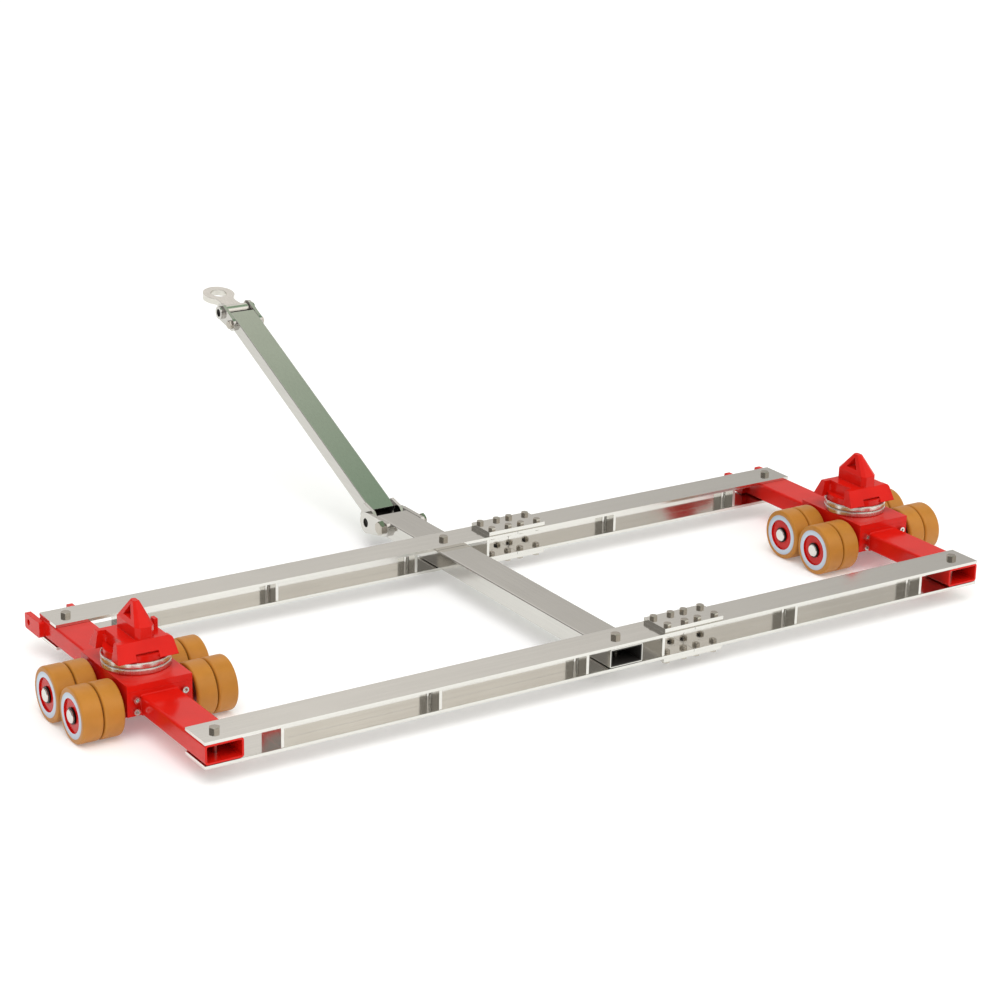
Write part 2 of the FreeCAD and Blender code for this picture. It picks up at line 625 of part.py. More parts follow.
def block():
    """Bogie block with its axle cradle, bored for axles, screws and kingpin."""
    half = BLOCK_WIDTH / 2
    cradle = AXLE_SPACING / 2 + CRADLE_END
    shape = box(-half, half, -BLOCK_FACE, BLOCK_FACE, TUBE_UNDERSIDE, BLOCK_TOP)
    shape = shape.fuse(box(-half, half, -ARM_FACE, ARM_FACE, BLOCK_TOP - LIP_HEIGHT, BLOCK_TOP))
    shape = shape.fuse(box(-half, half, -cradle, cradle, CRADLE_UNDERSIDE, TUBE_UNDERSIDE))
    for y in axle_places():
        shape = shape.cut(rod(AXLE_DIA, V(-half, y, AXLE_Z), V(half, y, AXLE_Z)))
    for side in (-1, 1):
        for x, z in screw_places():
            mouth = V(x, side * BLOCK_FACE, z)
            shape = shape.cut(rod(SCREW_DIA, mouth, mouth - V(0, side * SCREW_IN_BLOCK, 0)))
    shape = shape.cut(rod(KINGPIN_DIA + 2 * RUNNING, V(0, 0, CRADLE_UNDERSIDE), V(0, 0, BLOCK_TOP)))
    shape = shape.cut(rod(KINGPIN_POCKET_DIA, V(0, 0, CRADLE_UNDERSIDE), V(0, 0, KINGPIN_POCKET_TOP)))
    return shape.removeSplitter()


def axle_places():
    """Y of the near and far axle of a bogie."""
    return (-AXLE_SPACING / 2, AXLE_SPACING / 2)


def axles():
    """Two axles with chamfered ends, standing out past the rollers."""
    reach = ROLLER_OUTER + AXLE_STUB
    radius = AXLE_DIA / 2
    outline = [(-reach, 0), (-reach, radius - AXLE_CHAMFER), (AXLE_CHAMFER - reach, radius),
               (reach - AXLE_CHAMFER, radius), (reach, radius - AXLE_CHAMFER), (reach, 0)]
    return [turned(outline, V(0, y, AXLE_Z)) for y in axle_places()]


def axle_bushes():
    """Bushes on the axles, from the block's sides to the retaining rings."""
    solids = []
    for y in axle_places():
        for side in (-1, 1):
            start = V(side * BLOCK_WIDTH / 2, y, AXLE_Z)
            end = V(side * (ROLLER_OUTER - DISC_RECESS), y, AXLE_Z)
            solids.append(rod(AXLE_DIA + 2 * BUSH_WALL, start, end).cut(rod(AXLE_DIA, start, end)))
    return solids


def retaining_rings():
    """Rings on the axle ends that keep the rollers on."""
    solids = []
    for y in axle_places():
        for side in (-1, 1):
            start = V(side * (ROLLER_OUTER - DISC_RECESS + SLACK), y, AXLE_Z)
            end = start + V(side * RING_THICK, 0, 0)
            solids.append(rod(AXLE_DIA + 2 * RING_WALL, start, end).cut(rod(AXLE_DIA, start, end)))
    return solids


def roller_core(side, y):
    """Steel core of one twin roller, with a recessed disc at each end."""
    bore = AXLE_DIA / 2 + BUSH_WALL + RUNNING
    ends = (ROLLER_INNER, ROLLER_OUTER)
    middle = (ROLLER_INNER + ROLLER_OUTER) / 2
    half = []
    for end in ends:
        inward = 1 if end < middle else -1
        half.append([
            (end, CORE_DIA / 2),
            (end, DISC_DIA / 2),
            (end + inward * DISC_RECESS, DISC_DIA / 2),
            (end + inward * DISC_RECESS, bore),
        ])
    outline = half[0] + half[1][::-1]
    return turned([(side * x, radius) for x, radius in outline], V(0, y, AXLE_Z))


def roller_tyres(side, y):
    """The two tyres of one twin roller, with rounded tread edges."""
    solids = []
    for start in (ROLLER_INNER, ROLLER_INNER + TYRE_WIDTH + TYRE_GAP):
        end = start + TYRE_WIDTH
        ring = turned([(side * start, CORE_DIA / 2), (side * start, ROLLER_DIA / 2),
                       (side * end, ROLLER_DIA / 2), (side * end, CORE_DIA / 2)], V(0, y, AXLE_Z))
        edges = [edge for edge in ring.Edges
                 if hasattr(edge.Curve, "Radius") and edge.Curve.Radius > CORE_DIA / 2 + TYRE_EDGE / 2]
        solids.append(ring.makeFillet(TYRE_EDGE, edges))
    return solids


def turntable_ring(z0):
    """One polished ring with rounded rims and a ball groove."""
    outer = RING_DIA / 2
    ring = Part.makeCylinder(outer, RING_HEIGHT, V(0, 0, z0))
    ring = ring.cut(Part.makeCylinder(RING_HOLE_DIA / 2, RING_HEIGHT, V(0, 0, z0)))
    rims = [edge for edge in ring.Edges
            if hasattr(edge.Curve, "Radius") and edge.Curve.Radius > outer - RING_EDGE]
    ring = ring.makeFillet(RING_EDGE, rims)
    groove = Part.makeTorus(ball_circle(), BALL_DIA / 2 + SLACK, V(0, 0, GROOVE_Z))
    return ring.cut(groove)


def ball_circle():
    """Radius of the circle on which the balls run."""
    return (RING_DIA + RING_HOLE_DIA) / 4


def turntable_balls():
    """Balls between the two turntable rings."""
    solids = []
    for index in range(BALL_COUNT):
        turn = 2 * math.pi * index / BALL_COUNT
        place = V(ball_circle() * math.cos(turn), ball_circle() * math.sin(turn), GROOVE_Z)
        solids.append(Part.makeSphere(BALL_DIA / 2, place))
    return solids


def kingpin():
    """Shouldered pin from under the block up into the head."""
    collar_top = V(0, 0, KINGPIN_POCKET_TOP - SLACK)
    collar = rod(KINGPIN_COLLAR_DIA, collar_top - V(0, 0, KINGPIN_COLLAR), collar_top)
    shaft = rod(KINGPIN_DIA, collar_top, V(0, 0, HEAD_LOW + KINGPIN_IN_HEAD))
    return collar.fuse(shaft).removeSplitter()


def apron(side):
    """Leaning end plate of the head's seat, upright inside: side -1 is the near one."""
    foot_z = SEAT_HEIGHT - APRON_HEIGHT
    foot_y = APRON_HALF_LENGTH + APRON_LEAN
    inner = side * (APRON_HALF_LENGTH - APRON_THICK)
    sections = []
    for z, outer, width in ((foot_z, side * foot_y, APRON_FOOT_WIDTH),
                            (SEAT_HEIGHT, side * APRON_HALF_LENGTH, APRON_TOP_WIDTH)):
        left = APRON_X - width / 2
        right = APRON_X + width / 2
        corners = [V(left, inner, z), V(right, inner, z), V(right, outer, z), V(left, outer, z)]
        sections.append(Part.makePolygon(corners + [corners[0]]))
    shape = Part.makeLoft(sections, True, True)
    corner = [edge for edge in shape.Edges
              if all(v.X > 0 and v.Z > SEAT_HEIGHT - APRON_ROUND for v in edge.Vertexes)]
    shape = shape.makeFillet(APRON_ROUND, corner)
    x0 = APRON_X - APRON_NOTCH_WIDTH / 2
    x1 = APRON_X + APRON_NOTCH_WIDTH / 2
    y0 = min(side * foot_y, side * (foot_y - APRON_NOTCH_DEPTH))
    shape = shape.cut(box(x0, x1, y0, y0 + APRON_NOTCH_DEPTH, foot_z, foot_z + APRON_NOTCH_HEIGHT))
    for end in (-1, 1):
        shape = shape.fuse(apron_fillet(side, end))
    return shape


def apron_fillet(side, end):
    """Hollow corner between an apron and one side of the seat block."""
    foot_z = SEAT_HEIGHT - APRON_HEIGHT
    x0 = end * SEAT_BLOCK_WIDTH / 2
    x1 = x0 + end * APRON_FILLET
    y1 = side * (APRON_HALF_LENGTH - APRON_THICK)
    y0 = y1 - side * APRON_FILLET
    corner = box(min(x0, x1), max(x0, x1), min(y0, y1), max(y0, y1), foot_z, SEAT_HEIGHT - APRON_ROUND)
    return corner.cut(Part.makeCylinder(APRON_FILLET, APRON_HEIGHT, V(x1, y0, foot_z)))


def cone_section(width, length, chamfer, z):
    """Rectangle with cut corners at one height."""
    x = width / 2
    y = length / 2
    points = []
    for sx, sy in ((1, 1), (-1, 1), (-1, -1), (1, -1)):
        along_x = V(sx * (x - chamfer), sy * y, z)
        along_y = V(sx * x, sy * (y - chamfer), z)
        points += [along_y, along_x] if sx * sy > 0 else [along_x, along_y]
    return Part.makePolygon(points + [points[0]])


def cone():
    """Upright boss and gabled tip that enter a corner casting, with a window through."""
    shoulder = SEAT_HEIGHT + CONE_SHOULDER
    tip = SEAT_HEIGHT + CONE_HEIGHT
    root = SEAT_HEIGHT - APRON_HEIGHT / 2
    boss = Part.makeLoft([cone_section(CONE_WIDTH, CONE_LENGTH, CONE_CHAMFER, root),
                          cone_section(CONE_WIDTH, CONE_LENGTH, CONE_CHAMFER, shoulder)], True, True)
    gable = Part.makeLoft([cone_section(CONE_WIDTH, CONE_LENGTH, CONE_CHAMFER, shoulder),
                           cone_section(CONE_TIP_WIDTH, CONE_TIP_LENGTH, CONE_TIP_CHAMFER, tip)], True, True)
    sill = shoulder + CONE_WINDOW_RISE
    window = plate([V(-CONE_WIDTH, -CONE_WINDOW_WIDTH / 2, sill), V(-CONE_WIDTH, CONE_WINDOW_WIDTH / 2, sill),
                    V(-CONE_WIDTH, 0, tip - CONE_CROWN)], V(2 * CONE_WIDTH, 0, 0))
    rim = [edge for edge in gable.Edges if all(abs(v.Z - tip) < 0.01 for v in edge.Vertexes)]
    return boss.fuse(gable.makeFillet(CONE_TIP_ROUND, rim)).cut(window)


def head():
    """Red head: round foot, seat block with two leaning aprons, cone and stop tab."""
    half = SEAT_BLOCK_WIDTH / 2
    shape = Part.makeCylinder(DISC_HEAD_DIA / 2, DISC_HEAD_HEIGHT, V(0, 0, HEAD_LOW))
    seat = APRON_HALF_LENGTH - APRON_THICK / 3
    shape = shape.fuse(box(-half, half, -seat, seat, DISC_HEAD_TOP, SEAT_HEIGHT))
    for side in (-1, 1):
        shape = shape.fuse(apron(side))
    shape = shape.fuse(cone())
    tab_x = half - TAB_INSET
    tab = box(tab_x, tab_x + TAB_THICK, TAB_Y - TAB_LENGTH / 2, TAB_Y + TAB_LENGTH / 2,
              SEAT_HEIGHT - TAB_HEIGHT, SEAT_HEIGHT + TAB_HEIGHT)
    shape = shape.fuse(tab)
    shape = shape.cut(rod(KINGPIN_DIA, V(0, 0, HEAD_LOW), V(0, 0, HEAD_LOW + KINGPIN_IN_HEAD)))
    return shape.removeSplitter()


def write(name, solids):
    """Move solids to the origin and write them as one node."""
    shape = solids[0] if len(solids) == 1 else Part.makeCompound(solids)
    shape = shape.copy()
    shape.translate(TO_ORIGIN)
    shape.exportStep("parts/" + name + ".step")


def write_frame():
    """Long beams, their splices and pivot bolts."""
    for name, beam_y in (("near", -BEAM_Y), ("far", BEAM_Y)):
        write(name + "_beam_left", [beam_length(-BEAM_HALF, SPLICE_X - SPLICE_JOINT_GAP / 2, beam_y)])
        write(name + "_beam_right", [beam_length(SPLICE_X + SPLICE_JOINT_GAP / 2, BEAM_HALF, beam_y)])
        write(name + "_splice_plates", splice_plates(beam_y))
        write(name + "_splice_bolts", splice_bolts(beam_y))
        write(name + "_pivot_bolts", pivot_bolts(beam_y))


def write_drawbar():
    """Middle crossbeam, drawbar and towing eye."""
    write("middle_crossbeam", [crossbeam()])
    write("crossbeam_cheeks", crossbeam_cheeks())
    write("cheek_bolt", cheek_bolt())
    write("drawbar_hinge_pin", hinge_pin())
    write("drawbar", [drawbar()])
    write("eye_cheeks", eye_cheeks())
    write("eye_cheek_bolt", eye_bolt())
    write("eye_pin", eye_pin())
    write("towing_eye", [towing_eye()])


def write_bogie(name, x):
    """One bogie with its rollers, turntable and head."""
    pieces = {
        "near_arm": [arm(-1)],
        "far_arm": [arm(1)],
        "block": [block()],
        "arm_screws": arm_screws(),
        "axles": axles(),
        "axle_bushes": axle_bushes(),
        "axle_rings": retaining_rings(),
        "lower_ring": [turntable_ring(BLOCK_TOP)],
        "turntable_balls": turntable_balls(),
        "upper_ring": [turntable_ring(UPPER_RING_LOW)],
        "kingpin": [kingpin()],
        "head": [head()],
    }
    for row, y in zip(("near", "far"), axle_places()):
        for end, side in (("left", -1), ("right", 1)):
            roller = row + "_" + end + "_roller"
            pieces[roller + "_core"] = [roller_core(side, y)]
            pieces[roller + "_tyres"] = roller_tyres(side, y)
    for piece, solids in pieces.items():
        placed = [solid.copy() for solid in solids]
        for solid in placed:
            solid.translate(V(x, 0, 0))
        write(name + "_" + piece, placed)


os.makedirs("parts", exist_ok=True)
write_frame()
write_drawbar()
write_bogie("left", -HEAD_X)
write_bogie("right", HEAD_X)
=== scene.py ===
"""Looks of a steerable machine skate: finishes for its solids, detailed bolts, welds and a plain studio."""
import itertools
import json
import logging
import math
from dataclasses import dataclass
from enum import Enum

import bmesh
import bpy
import numpy as np
from mathutils import Matrix, Vector


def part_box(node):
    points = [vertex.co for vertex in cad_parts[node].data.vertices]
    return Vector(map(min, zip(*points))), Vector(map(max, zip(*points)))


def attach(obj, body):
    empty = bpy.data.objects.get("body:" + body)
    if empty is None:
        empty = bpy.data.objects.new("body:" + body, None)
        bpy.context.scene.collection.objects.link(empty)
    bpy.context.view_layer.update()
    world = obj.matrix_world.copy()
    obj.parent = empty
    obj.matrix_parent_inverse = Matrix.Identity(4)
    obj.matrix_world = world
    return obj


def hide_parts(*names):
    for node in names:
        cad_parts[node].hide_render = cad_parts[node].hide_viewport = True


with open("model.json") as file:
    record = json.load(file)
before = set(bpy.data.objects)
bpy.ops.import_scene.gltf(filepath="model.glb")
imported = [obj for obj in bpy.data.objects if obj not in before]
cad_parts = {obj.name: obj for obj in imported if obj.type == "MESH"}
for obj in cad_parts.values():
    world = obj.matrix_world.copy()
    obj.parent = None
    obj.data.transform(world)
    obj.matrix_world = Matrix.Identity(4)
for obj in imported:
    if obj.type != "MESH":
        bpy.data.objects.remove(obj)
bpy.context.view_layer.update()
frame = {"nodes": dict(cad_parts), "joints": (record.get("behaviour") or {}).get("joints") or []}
LOG = logging.getLogger("skate")
MM = 0.001

Colour = tuple[float, float, float, float]
Stop = tuple[float, Colour]
Triple = tuple[float, float, float]
Level = float | np.ndarray

# least and most roughness over a surface, as shares of its mean
SMOOTHEST = 0.85
ROUGHEST = 1.2
# phase, in radians, through which a wave texture turns per unit of its scale
WAVE_RATE = 20.0
# angles of a quarter circle
QUARTER = np.linspace(0, np.pi / 2, 9)


class Axis(Enum):
    """Direction along which a grain lies."""

    X = (1.0, 0.0, 0.0)
    Y = (0.0, 1.0, 0.0)
    Z = (0.0, 0.0, 1.0)


class Side(Enum):
    """Left or right bogie."""

    LEFT = "left"
    RIGHT = "right"


class Row(Enum):
    """Near or far beam, arm or axle."""

    NEAR = "near"
    FAR = "far"


def linear(code: str) -> Colour:
    """Turn an sRGB hex code into a linear colour.

    Args:
        code: Six hex digits.

    Returns:
        Red, green, blue and an alpha of one.
    """
    values = [int(code[i:i + 2], 16) / 255 for i in (0, 2, 4)]
    red, green, blue = [v / 12.92 if v <= 0.04045 else ((v + 0.055) / 1.055) ** 2.4 for v in values]
    return red, green, blue, 1.0


def per_mm(size: float) -> float:
    """Texture scale on Object coordinates for features that are a size in millimetres apart."""
    return 1 / (size * MM)


def grey(level: float) -> Colour:
    """Grey of a linear level."""
    return level, level, level, 1.0


def add(tree: bpy.types.NodeTree, kind: str, settings: dict | None = None, stops: tuple[Stop, ...] = (),
        **inputs: object) -> bpy.types.Node:
    """Add a node with its settings, and set or link its inputs.

    Args:
        tree: Node tree of a material or the world.
        kind: Node type.
        settings: Attributes of the node.
        stops: Places along a colour ramp and their colours, in order.
        **inputs: Socket names with spaces as underscores, or s0, s1 for sockets by number; a node's
            output is linked.

    Returns:
        The node.
    """
    node = tree.nodes.new(kind)
    for key, value in (settings or {}).items():
        setattr(node, key, value)
    if stops:
        elements = node.color_ramp.elements
        while len(elements) < len(stops):
            elements.new(0.5)
        for element, (position, _) in zip(elements, stops):
            element.position = position
        for element, (_, colour) in zip(elements, stops):
            element.color = colour
    for key, value in inputs.items():
        numbered = key[0] == "s" and key[1:].isdigit()
        socket = node.inputs[int(key[1:]) if numbered else key.replace("_", " ")]
        if isinstance(value, bpy.types.NodeSocket):
            tree.links.new(value, socket)
        else:
            socket.default_value = value
    return node


def blank(name: str) -> tuple[bpy.types.Material, bpy.types.NodeTree, bpy.types.NodeSocket]:
    """Start a material with empty nodes and an output.

    Args:
        name: Name of the finish.

    Returns:
        The material, its tree and its surface socket.
    """
    material = bpy.data.materials.new(name)
    material.use_nodes = True
    tree = material.node_tree
    tree.nodes.clear()
    return material, tree, add(tree, "ShaderNodeOutputMaterial").inputs["Surface"]


@dataclass(frozen=True)
class Bore:
    """Inside of a rectangular tube: its middle, its length's tilt and half its clear width and height."""

    middle: Vector
    pitch_deg: float
    half_width: float
    half_height: float

    def mask(self, tree: bpy.types.NodeTree, place: bpy.types.NodeSocket) -> bpy.types.NodeSocket:
        """One inside the tube and zero outside: both distances off its middle line are less than the halves.

        Args:
            tree: Node tree.
            place: Object coordinates.

        Returns:
            The mask.
        """
        own = add(tree, "ShaderNodeMapping", {"vector_type": "TEXTURE"}, Vector=place, Location=self.middle,
                  Rotation=Vector((math.radians(self.pitch_deg), 0.0, 0.0)))
        off = add(tree, "ShaderNodeVectorMath", {"operation": "ABSOLUTE"}, s0=own.outputs["Vector"])
        split = add(tree, "ShaderNodeSeparateXYZ", Vector=off.outputs["Vector"])
        across = add(tree, "ShaderNodeMath", {"operation": "LESS_THAN"}, s0=split.outputs["X"],
                     s1=self.half_width)
        high = add(tree, "ShaderNodeMath", {"operation": "LESS_THAN"}, s0=split.outputs["Z"],
                   s1=self.half_height)
        both = add(tree, "ShaderNodeMath", {"operation": "MULTIPLY"}, s0=across.outputs[0],
                   s1=high.outputs[0])
        return both.outputs[0]


@dataclass(frozen=True)
class DrawnSteel:
    """Polished, plated or dark steel: a metal mirror blurred by fine lines along its working."""

    name: str
    colour: str
    shade: str
    roughness: float
    grain: Axis = Axis.X
    line_mm: float = 5.0
    run_mm: float = 400.0
    edge_mm: float = 1.0
    cloud_mm: float = 160.0
    line_share: float = 0.6
    depth: float = 0.008
    depth_mm: float = 0.4
    bore: Bore | None = None
    # darkest and lightest colours of the painted shade inside a tube
    inside_shade_dark: str = "1B1917"
    inside_shade_light: str = "2A2724"

    def make(self) -> bpy.types.Material:
        """Build the finish.

        Returns:
            A metal whose colour and roughness follow long thin lines, with softly broken edges, and a dark
            painted shade on a tube's inside, where little light reaches.
        """
        material, tree, surface = blank(self.name)
        place = add(tree, "ShaderNodeTexCoord").outputs["Object"]
        along = np.array(self.grain.value)
        # lines are drawn a few millimetres wide: the real ones are too fine to show
        scale = along * per_mm(self.run_mm) + (1 - along) * per_mm(self.line_mm)
        stretched = add(tree, "ShaderNodeMapping", Vector=place, Scale=Vector(scale)).outputs["Vector"]
        lines = add(tree, "ShaderNodeTexNoise", Vector=stretched, Scale=1.0, Detail=3.0, Roughness=0.6)
        cloud = add(tree, "ShaderNodeTexNoise", Vector=place, Scale=per_mm(self.cloud_mm), Detail=2.0)
        wide = add(tree, "ShaderNodeMath", {"operation": "MULTIPLY"}, s0=cloud.outputs["Fac"],
                   s1=1 - self.line_share)
        both = add(tree, "ShaderNodeMath", {"operation": "MULTIPLY_ADD"}, s0=lines.outputs["Fac"],
                   s1=self.line_share, s2=wide.outputs[0]).outputs[0]
        tone = add(tree, "ShaderNodeValToRGB", Fac=both,
                   stops=((0.35, linear(self.shade)), (0.65, linear(self.colour)))).outputs["Color"]
        rough = add(tree, "ShaderNodeMapRange", Value=both, From_Min=0.3, From_Max=0.7,
                    To_Min=self.roughness * ROUGHEST, To_Max=self.roughness * SMOOTHEST)
        edge = add(tree, "ShaderNodeBevel", {"samples": 6}, Radius=self.edge_mm * MM)
        bump = add(tree, "ShaderNodeBump", Height=lines.outputs["Fac"], Strength=self.depth,
                   Distance=self.depth_mm * MM, Normal=edge.outputs["Normal"])
        shader = add(tree, "ShaderNodeBsdfPrincipled", Base_Color=tone, Metallic=1.0,
                     Roughness=rough.outputs["Result"], Normal=bump.outputs["Normal"]).outputs["BSDF"]
        # inside a tube the colour is painted shade: dark and rough, where little light reaches
        if self.bore:
            painted_shade_inside = add(tree, "ShaderNodeValToRGB", Fac=cloud.outputs["Fac"],
                         stops=((0.3, linear(self.inside_shade_dark)), (0.7, linear(self.inside_shade_light))))
            dull = add(tree, "ShaderNodeBsdfPrincipled", Base_Color=painted_shade_inside.outputs["Color"],
                       Roughness=0.7).outputs["BSDF"]
            shader = add(tree, "ShaderNodeMixShader", s0=self.bore.mask(tree, place), s1=shader,
                         s2=dull).outputs["Shader"]
        tree.links.new(shader, surface)
        return material


@dataclass(frozen=True)
class RedEnamel:
    """Glossy sprayed enamel on welded and cast steel: deep colour, a clear sheen and a slight orange peel."""

    name: str = "red_enamel"
    colour: str = "D41A10"
    shade: str = "CA160D"
    roughness: float = 0.16
    drift_mm: float = 90.0
    peel_mm: float = 7.0
    peel_depth_mm: float = 0.5
    edge_mm: float = 2.0

    def make(self) -> bpy.types.Material:
        """Build the finish.

        Returns:
            A smooth dielectric with faint colour drift and a fine ripple.
        """
        material, tree, surface = blank(self.name)
        place = add(tree, "ShaderNodeTexCoord").outputs["Object"]
        drift = add(tree, "ShaderNodeTexNoise", Vector=place, Scale=per_mm(self.drift_mm), Detail=3.0)
        tone = add(tree, "ShaderNodeValToRGB", Fac=drift.outputs["Fac"],
                   stops=((0.3, linear(self.shade)), (0.6, linear(self.colour)))).outputs["Color"]
        # the ripple is drawn wider than the real one, which is too fine to show
        peel = add(tree, "ShaderNodeTexNoise", Vector=place, Scale=per_mm(self.peel_mm), Detail=2.0)
        rough = add(tree, "ShaderNodeMapRange", Value=drift.outputs["Fac"], From_Min=0.3, From_Max=0.7,
                    To_Min=self.roughness * SMOOTHEST, To_Max=self.roughness * ROUGHEST)
        edge = add(tree, "ShaderNodeBevel", {"samples": 4}, Radius=self.edge_mm * MM)
        bump = add(tree, "ShaderNodeBump", Height=peel.outputs["Fac"], Strength=0.02,
                   Distance=self.peel_depth_mm * MM, Normal=edge.outputs["Normal"])
        shader = add(tree, "ShaderNodeBsdfPrincipled", Base_Color=tone, Roughness=rough.outputs["Result"],
                     IOR=1.3, Normal=bump.outputs["Normal"])
        tree.links.new(shader.outputs["BSDF"], surface)
        return material


@dataclass(frozen=True)
class CastPolyurethane:
    """Cast polyurethane tread: waxy ochre, slightly see-through, turned with faint rings across its width."""

    name: str = "cast_polyurethane"
    colour: str = "B97B2D"
    shade: str = "B07428"
    roughness: float = 0.42
    cloud_mm: float = 45.0
    ring_mm: float = 6.0
    round_mm: float = 250.0
    ring_depth_mm: float = 0.5
    scatter_mm: Triple = (4.0, 2.0, 1.0)

    def make(self) -> bpy.types.Material:
        """Build the finish.

        Returns:
            A soft plastic with a little scatter and turned rings along X.
        """
        material, tree, surface = blank(self.name)
        place = add(tree, "ShaderNodeTexCoord").outputs["Object"]
        cloud = add(tree, "ShaderNodeTexNoise", Vector=place, Scale=per_mm(self.cloud_mm), Detail=3.0)
        tone = add(tree, "ShaderNodeValToRGB", Fac=cloud.outputs["Fac"],
                   stops=((0.3, linear(self.shade)), (0.65, linear(self.colour)))).outputs["Color"]
        # turned rings are drawn a few millimetres wide: the real ones are too fine to show
        scale = Vector((per_mm(self.ring_mm), per_mm(self.round_mm), per_mm(self.round_mm)))
        stretched = add(tree, "ShaderNodeMapping", Vector=place, Scale=scale).outputs["Vector"]
        turned = add(tree, "ShaderNodeTexNoise", Vector=stretched, Scale=1.0, Detail=2.0)
        bump = add(tree, "ShaderNodeBump", Height=turned.outputs["Fac"], Strength=0.05,
                   Distance=self.ring_depth_mm * MM)
        shader = add(tree, "ShaderNodeBsdfPrincipled", Base_Color=tone, Roughness=self.roughness, IOR=1.4,
                     Subsurface_Weight=0.05, Subsurface_Radius=Vector(self.scatter_mm) * MM,
                     Normal=bump.outputs["Normal"])
        tree.links.new(shader.outputs["BSDF"], surface)
        return material


@dataclass(frozen=True)
class RollerCoreFinish:
    """Turned steel rim, left bare and bright, round a hub disc in red enamel."""

    name: str
    axle_y: float
    axle_z: float
    disc_radius: float = 43.0 * MM
    margin: float = 0.2 * MM
    radian_mm: float = 3.0
    drift_mm: float = 30.0
    rim: str = "B9C4D0"
    rim_shade: str = "AEBAC8"
    disc: str = "CC120B"
    disc_shade: str = "BE0E08"

    def make(self) -> bpy.types.Material:
        """Build the finish.

        Returns:
            Bare metal outside the disc's radius about the axle and enamel inside it.
        """
        material, tree, surface = blank(self.name)
        place = add(tree, "ShaderNodeTexCoord").outputs["Object"]
        centred = add(tree, "ShaderNodeMapping", Vector=place,
                      Location=Vector((0.0, -self.axle_y, -self.axle_z)))
        flat = add(tree, "ShaderNodeVectorMath", {"operation": "MULTIPLY"}, s0=centred.outputs["Vector"],
                   s1=Vector((0.0, 1.0, 1.0)))
        radius = add(tree, "ShaderNodeVectorMath", {"operation": "LENGTH"}, s0=flat.outputs["Vector"])
        inside = add(tree, "ShaderNodeMath", {"operation": "LESS_THAN"}, s0=radius.outputs["Value"],
                     s1=self.disc_radius + self.margin)
        # turning marks are drawn wide too
        rings = add(tree, "ShaderNodeTexWave", {"wave_type": "RINGS", "rings_direction": "X"},
                    Vector=centred.outputs["Vector"], Scale=per_mm(self.radian_mm) / WAVE_RATE,
                    Distortion=0.6, Detail=1.0)
        turned = add(tree, "ShaderNodeValToRGB", Fac=rings.outputs["Fac"],
                     stops=((0.1, linear(self.rim_shade)), (0.9, linear(self.rim)))).outputs["Color"]
        bare = add(tree, "ShaderNodeBsdfPrincipled", Base_Color=turned, Metallic=1.0, Roughness=0.3)
        drift = add(tree, "ShaderNodeTexNoise", Vector=place, Scale=per_mm(self.drift_mm), Detail=2.0)
        painted = add(tree, "ShaderNodeValToRGB", Fac=drift.outputs["Fac"],
                      stops=((0.35, linear(self.disc_shade)), (0.65, linear(self.disc)))).outputs["Color"]
        enamel = add(tree, "ShaderNodeBsdfPrincipled", Base_Color=painted, Roughness=0.25, IOR=1.35)
        mix = add(tree, "ShaderNodeMixShader", s0=inside.outputs[0], s1=bare.outputs["BSDF"],
                  s2=enamel.outputs["BSDF"])
        tree.links.new(mix.outputs["Shader"], surface)
        return material


def dress(node: str, material: bpy.types.Material) -> None:
    """Give a solid of the frame one finish.

    Args:
        node: Name of the solid's node.
        material: Finish to show.
    """
    data = frame["nodes"][node].data
    data.materials.clear()
    data.materials.append(material)
    LOG.info("%s: %s", node, material.name)


def ring_faces(rings: int, segments: int, closed: bool) -> list[tuple[int, ...]]:
    """Faces of a grid of rings: quads between neighbours, and a cap at each end or a join from last to first.

    Args:
        rings: Number of rings.
        segments: Points on a ring.
        closed: Whether the last ring joins the first.

    Returns:
        Faces as tuples of point numbers.
    """
    ring = np.arange(rings if closed else rings - 1)[:, None]
    step = np.arange(segments)[None, :]
    after = (step + 1) % segments
    above = (ring + 1) % rings
    quads = np.stack([ring * segments + step, ring * segments + after, above * segments + after,
                      above * segments + step], axis=-1).reshape(-1, 4)
    faces = [tuple(quad) for quad in quads.tolist()]
    if not closed:
        faces.append(tuple(range(segments))[::-1])
        faces.append(tuple(range((rings - 1) * segments, rings * segments)))
    return faces


def piece(name: str, points: np.ndarray, faces: list[tuple[int, ...]], smooth: bool) -> bpy.types.Object:
    """Put points and faces into a new object at the origin, with its faces pointing outwards.

    Args:
        name: Name of the piece.
        points: Array of copies by points by 3, in metres.
        faces: Faces of one copy.
        smooth: Whether the faces are shaded smooth.

    Returns:
        The object.
    """
    copies, count, _ = points.shape
    every = [tuple(i + copy * count for i in face) for copy in range(copies) for face in faces]
    mesh = bpy.data.meshes.new(name)
    mesh.from_pydata(points.reshape(-1, 3), [], every)
    work = bmesh.new()
    work.from_mesh(mesh)
    bmesh.ops.recalc_face_normals(work, faces=work.faces)
    work.to_mesh(mesh)
    work.free()
    if smooth:
        mesh.shade_smooth()
    mesh.update()
    obj = bpy.data.objects.new(name, mesh)
    bpy.context.scene.collection.objects.link(obj)
    return obj


